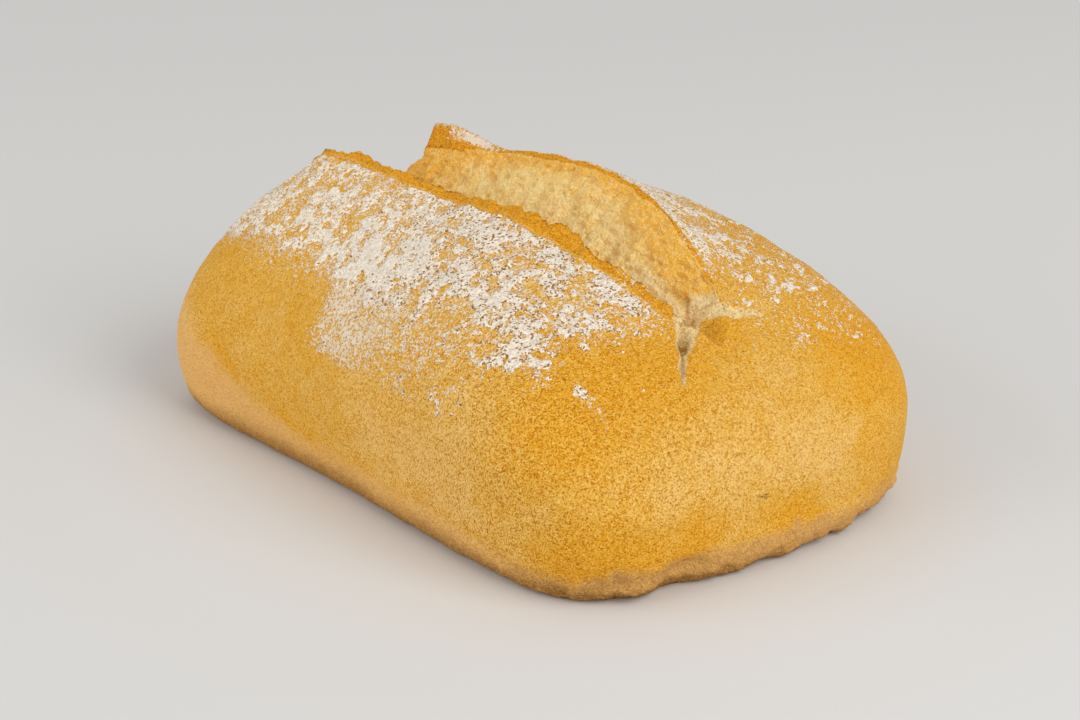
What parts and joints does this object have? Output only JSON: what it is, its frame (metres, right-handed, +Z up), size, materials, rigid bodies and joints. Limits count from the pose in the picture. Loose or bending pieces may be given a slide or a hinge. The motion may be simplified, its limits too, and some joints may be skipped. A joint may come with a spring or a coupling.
{
  "type": "ciabatta roll",
  "caption": "Baked ciabatta roll with a flat foot, a floured uneven dome and a lengthwise score torn open beside a raised lip of crust.",
  "frame": {"origin": "centre of the roll's footprint box, on the surface it rests on", "axes": "+X along the roll towards the end where the score closes, +Z up from the flat foot, -Y the side below the score's low lip"},
  "size_m": [0.1498, 0.1076, 0.0622],
  "materials": {
    "crust": "baked bread crust, matte, orange-gold, with flour dust and a pale crumb in the open score"
  },
  "bodies": {
    "root": {"loaf": "crust"}
  },
  "joints": []
}
